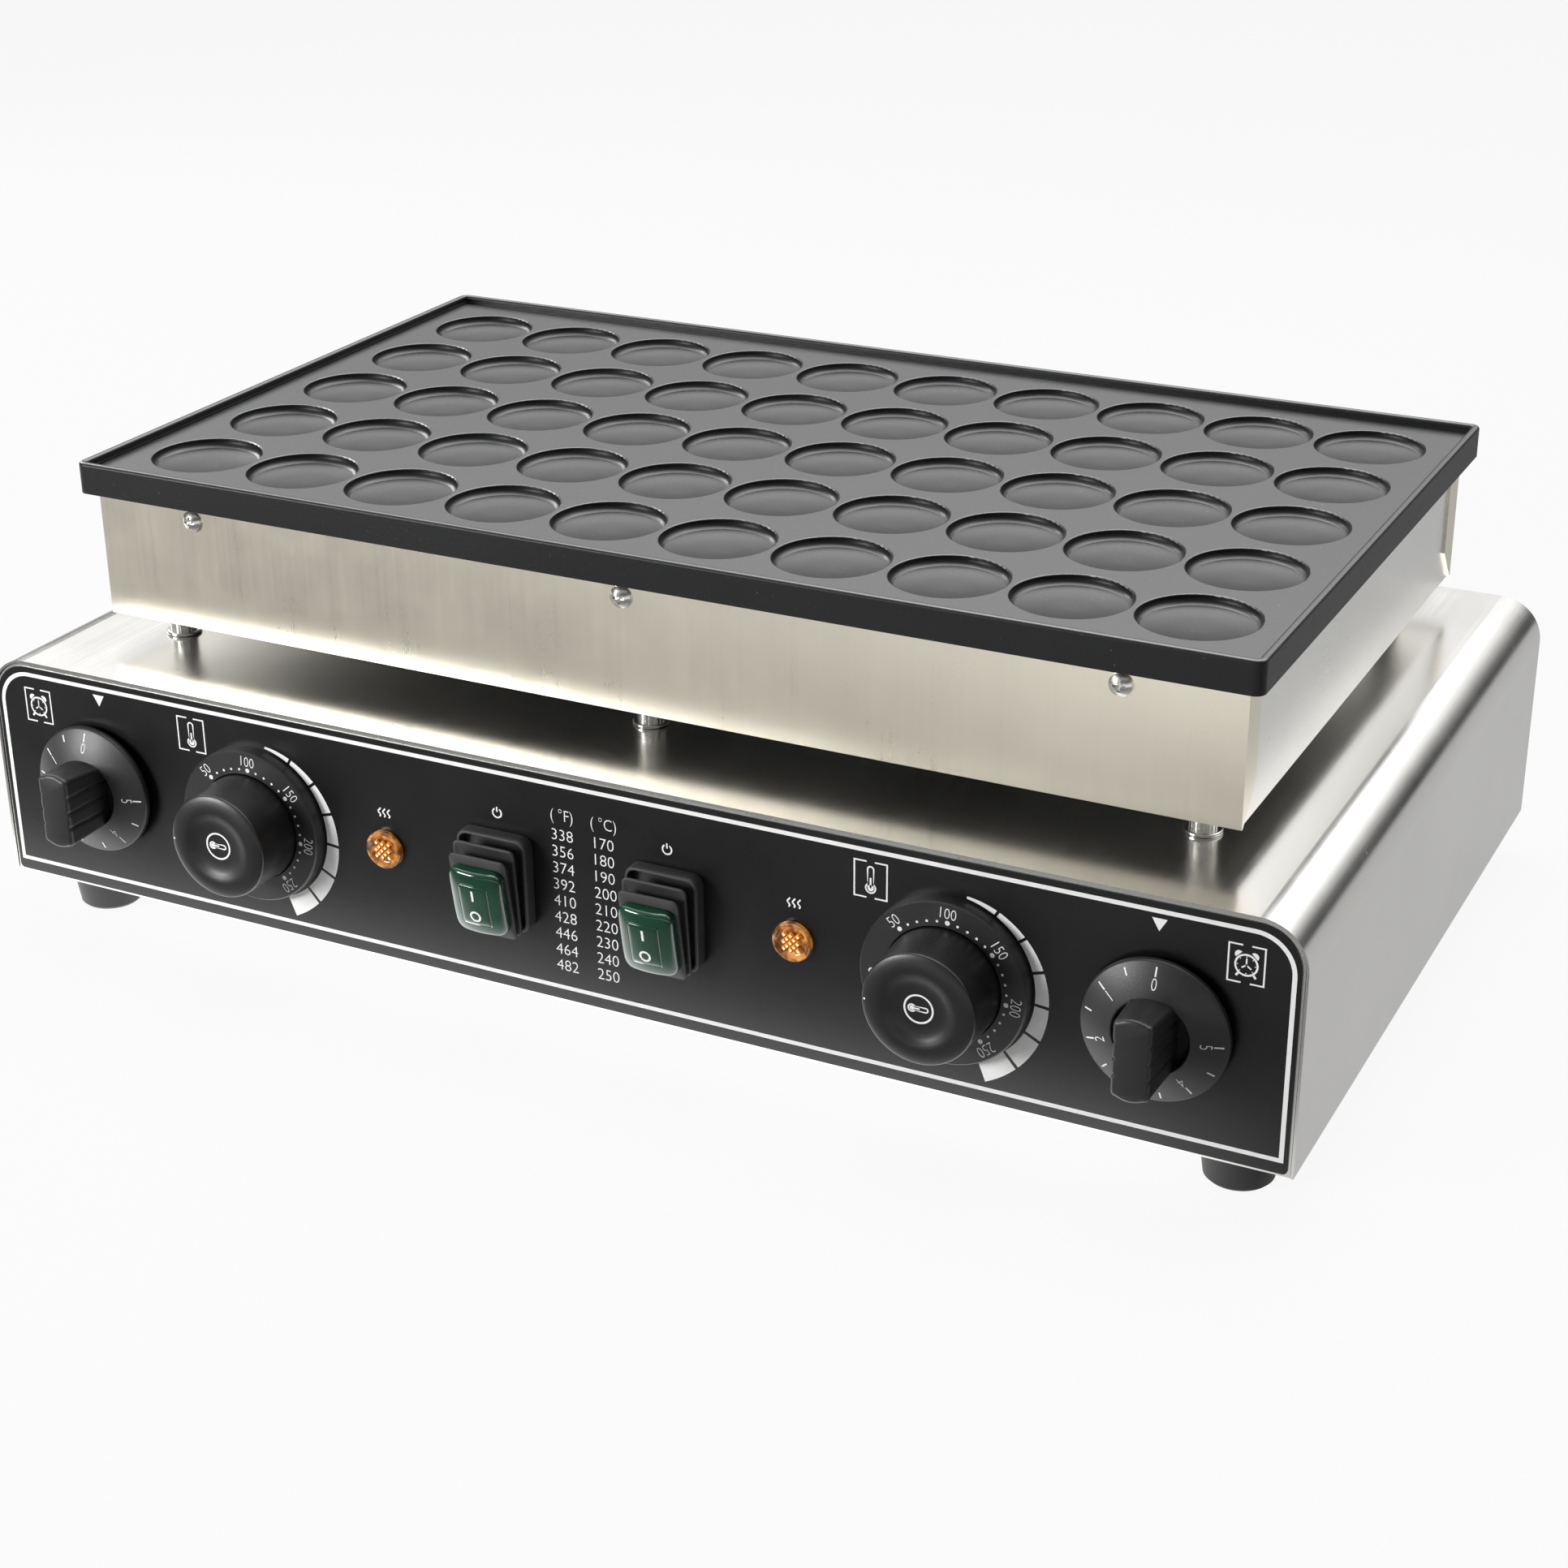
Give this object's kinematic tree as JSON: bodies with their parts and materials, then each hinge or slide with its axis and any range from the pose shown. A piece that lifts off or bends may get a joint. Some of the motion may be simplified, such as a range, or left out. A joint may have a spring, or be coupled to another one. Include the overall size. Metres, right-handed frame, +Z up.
{
  "type": "mini pancake maker",
  "caption": "Countertop mini pancake maker: open dished griddle plate on a steel heat box, held on posts over a control base with dials, timers, rocker switches and lamps.",
  "frame": {"origin": "on the table, below the middle of the bounding box", "axes": "+X to the right seen from the controls, +Y to the back, +Z up"},
  "size_m": [0.56, 0.3774, 0.1955],
  "materials": {
    "stainless": "fine brushed stainless",
    "box_steel": "warm satin stainless",
    "fastener": "bright zinc",
    "post_chrome": "bright",
    "overlay": "printed polyester film",
    "foot_rubber": "matte",
    "boot_rubber": "satin",
    "griddle": "dark non-stick coat on a casting",
    "element": "dull heat-resistant tube",
    "ceramic": "ceramic white",
    "insulation": "mineral fibre",
    "reflector": "bright sheet",
    "sleeve": "heat-resistant white",
    "lead": "silicone",
    "thermostat": "moulded",
    "probe": "drawn tube",
    "timer": "moulded",
    "dial_black": "satin moulded",
    "rocker_green": "glossy",
    "lens_amber": "glossy",
    "gland_black": "moulded"
  },
  "bodies": {
    "machine": {"base_cover": "stainless", "front_panel": "stainless", "control_label": "overlay", "rear_panel": "stainless", "bottom_plate": "stainless", "bottom_screws": "fastener", "foot_front_left": "foot_rubber", "foot_front_right": "foot_rubber", "foot_rear_left": "foot_rubber", "foot_rear_right": "foot_rubber", "foot_screws": "fastener", "support_posts": "post_chrome", "post_rings": "post_chrome", "post_bolts": "fastener", "post_nuts": "fastener", "box_tray": "box_steel", "box_front": "box_steel", "box_rear": "box_steel", "box_screws": "fastener", "griddle_plate": "griddle", "heating_element_left": "element", "heating_element_right": "element", "element_terminals": "ceramic", "clamp_bars": "fastener", "clamp_bolts": "fastener", "insulation_mat": "insulation", "heat_reflector": "reflector", "wire_sleeves": "sleeve", "element_leads_left": "lead", "element_leads_right": "lead", "thermostat_left": "thermostat", "thermostat_right": "thermostat", "thermostat_probe_left": "probe", "thermostat_probe_right": "probe", "timer_left": "timer", "timer_right": "timer", "control_screws": "fastener", "dial_ring_left": "dial_black", "dial_ring_right": "dial_black", "switch_housing_left": "timer", "switch_housing_right": "timer", "switch_boot_left": "boot_rubber", "switch_boot_right": "boot_rubber", "lamp_lens_left": "lens_amber", "lamp_lens_right": "lens_amber", "lamp_holders": "ceramic", "terminal_block": "ceramic", "cable_gland": "gland_black", "gland_nut": "gland_black"},
    "timer_dial_left": {"timer_knob_left": "dial_black", "timer_shaft_left": "fastener"},
    "temperature_dial_left": {"dial_knob_left": "dial_black", "dial_shaft_left": "fastener"},
    "power_rocker_left": {"rocker_left": "rocker_green"},
    "timer_dial_right": {"timer_knob_right": "dial_black", "timer_shaft_right": "fastener"},
    "temperature_dial_right": {"dial_knob_right": "dial_black", "dial_shaft_right": "fastener"},
    "power_rocker_right": {"rocker_right": "rocker_green"}
  },
  "joints": [
    {"name": "timer_turn_left", "type": "hinge", "parent": "machine", "child": "timer_dial_left", "pos_m": [-0.229, -0.15925, 0.0685], "axis": [0, 1, 0], "range_deg": [0, 270]},
    {"name": "temperature_turn_left", "type": "hinge", "parent": "machine", "child": "temperature_dial_left", "pos_m": [-0.15, -0.15925, 0.0685], "axis": [0, 1, 0], "range_deg": [0, 280]},
    {"name": "power_rock_left", "type": "hinge", "parent": "machine", "child": "power_rocker_left", "pos_m": [-0.0367, -0.15525, 0.0685], "axis": [-1, 0, 0], "range_deg": [0, 20], "deforming": ["switch_boot_left"]},
    {"name": "timer_turn_right", "type": "hinge", "parent": "machine", "child": "timer_dial_right", "pos_m": [0.229, -0.15925, 0.0685], "axis": [0, 1, 0], "range_deg": [0, 270]},
    {"name": "temperature_turn_right", "type": "hinge", "parent": "machine", "child": "temperature_dial_right", "pos_m": [0.15, -0.15925, 0.0685], "axis": [0, 1, 0], "range_deg": [0, 280]},
    {"name": "power_rock_right", "type": "hinge", "parent": "machine", "child": "power_rocker_right", "pos_m": [0.0367, -0.15525, 0.0685], "axis": [-1, 0, 0], "range_deg": [0, 20], "deforming": ["switch_boot_right"]}
  ]
}
